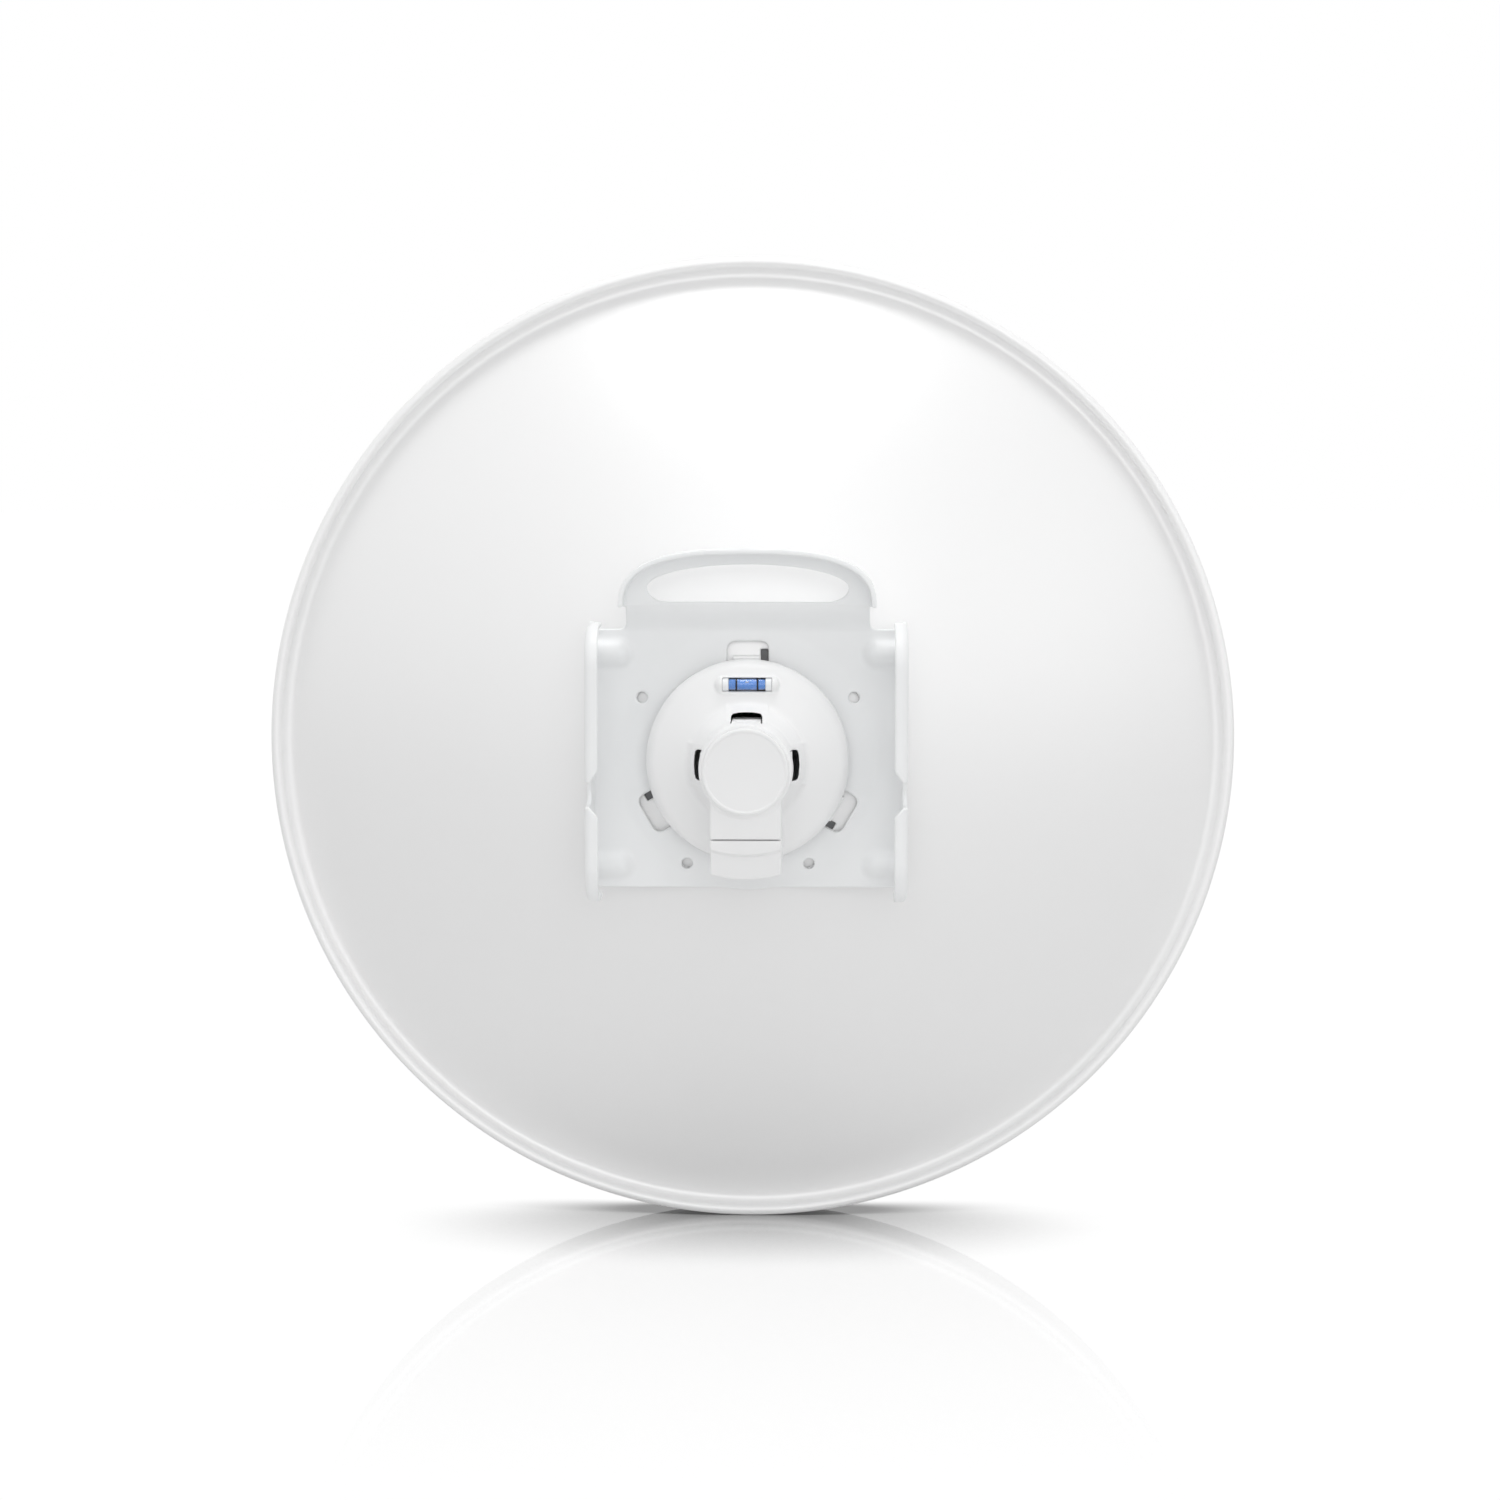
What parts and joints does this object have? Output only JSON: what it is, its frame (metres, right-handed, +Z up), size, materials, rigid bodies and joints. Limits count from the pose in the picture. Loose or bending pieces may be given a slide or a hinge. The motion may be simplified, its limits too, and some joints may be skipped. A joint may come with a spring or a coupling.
{
  "type": "outdoor wireless bridge",
  "caption": "Parabolic dish radio for point-to-point links: spun reflector, pressed mounting bracket with handle, plug-in radio with feed, spirit level and cable cover.",
  "frame": {"origin": "centre of the tilt axis, through the two bolt notches of the side flanges, midway between the flanges", "axes": "+Y along the boresight, the way the dish looks; +Z up; +X to the right seen from behind, along the tilt axis"},
  "size_m": [0.42, 0.23, 0.42],
  "materials": {
    "white_powder_coat": "fine-textured satin powder coat, slightly cool",
    "dish_powder_coat": "smooth satin powder coat",
    "white_plastic": "UV-stable moulded plastic, satin, fine spark texture",
    "cap_plastic": "moulded plastic, satin",
    "clear_white_plastic": "translucent white, glossy",
    "black_rubber": "moulded silicone rubber, matte",
    "grey_rubber": "silicone gasket, matte",
    "black_plastic": "moulded, satin",
    "level_glass": "clear acrylic tube, polished",
    "level_liquid": "blue spirit",
    "air_bubble": "air in spirit",
    "mark_ink": "printed ink",
    "board_green": "fibreglass board with solder mask",
    "tinned_steel": "tinned, bright",
    "zinc_screw": "zinc plated",
    "aluminium": "extruded, plain",
    "gold_contact": "gold flash",
    "copper_brass": "stamped, bright",
    "thermal_silicone": "soft gap pad, matte",
    "cream_foam": "closed-cell foam"
  },
  "bodies": {
    "antenna": {"mount_bracket": "white_powder_coat", "reflector_dish": "dish_powder_coat", "hub_gasket": "grey_rubber", "rear_housing": "white_plastic", "rear_cap": "cap_plastic", "cap_seal": "black_rubber", "feed_tube": "white_plastic", "base_seal": "black_rubber", "housing_screws": "zinc_screw", "main_board": "board_green", "board_screws": "zinc_screw", "shield_cans": "tinned_steel", "heat_spreader": "aluminium", "thermal_pad": "thermal_silicone", "ethernet_transformer": "black_plastic", "rj45_jack": "tinned_steel", "jack_contacts": "gold_contact", "jack_gasket": "grey_rubber", "vent_plug": "black_rubber", "reset_switch": "tinned_steel", "feed_board": "board_green", "coax_jumpers": "black_plastic", "crossed_dipoles": "copper_brass", "subreflector": "aluminium", "foam_spacer": "cream_foam", "feed_flare": "white_plastic", "flare_seal": "black_rubber", "feed_cap": "white_plastic", "level_vial": "level_glass", "level_caps": "clear_white_plastic", "level_liquid": "level_liquid", "level_bubble": "air_bubble", "level_marks": "mark_ink"},
    "port_cover": {"port_cover": "white_plastic"},
    "reset_button": {"reset_plunger": "black_plastic"},
    "tab_top": {"release_tab_top": "white_plastic"},
    "tab_left": {"release_tab_left": "white_plastic"},
    "tab_right": {"release_tab_right": "white_plastic"}
  },
  "joints": [
    {"name": "cover_slide", "type": "slide", "parent": "antenna", "child": "port_cover", "axis": [0, 0, -1], "range_m": [0, 0.022]},
    {"name": "reset_press", "type": "slide", "parent": "antenna", "child": "reset_button", "axis": [0, 0, 1], "range_m": [0, 0.0008], "stiffness_N_per_m": 400, "springref_m": -0.0005},
    {"name": "tab_top_press", "type": "slide", "parent": "antenna", "child": "tab_top", "axis": [0, 0, -1], "range_m": [0, 0.0012], "stiffness_N_per_m": 800, "springref_m": -0.0005},
    {"name": "tab_left_press", "type": "slide", "parent": "antenna", "child": "tab_left", "axis": [1, 0, 0], "range_m": [0, 0.0012], "stiffness_N_per_m": 800, "springref_m": -0.0005},
    {"name": "tab_right_press", "type": "slide", "parent": "antenna", "child": "tab_right", "axis": [-1, 0, 0], "range_m": [0, 0.0012], "stiffness_N_per_m": 800, "springref_m": -0.0005}
  ]
}
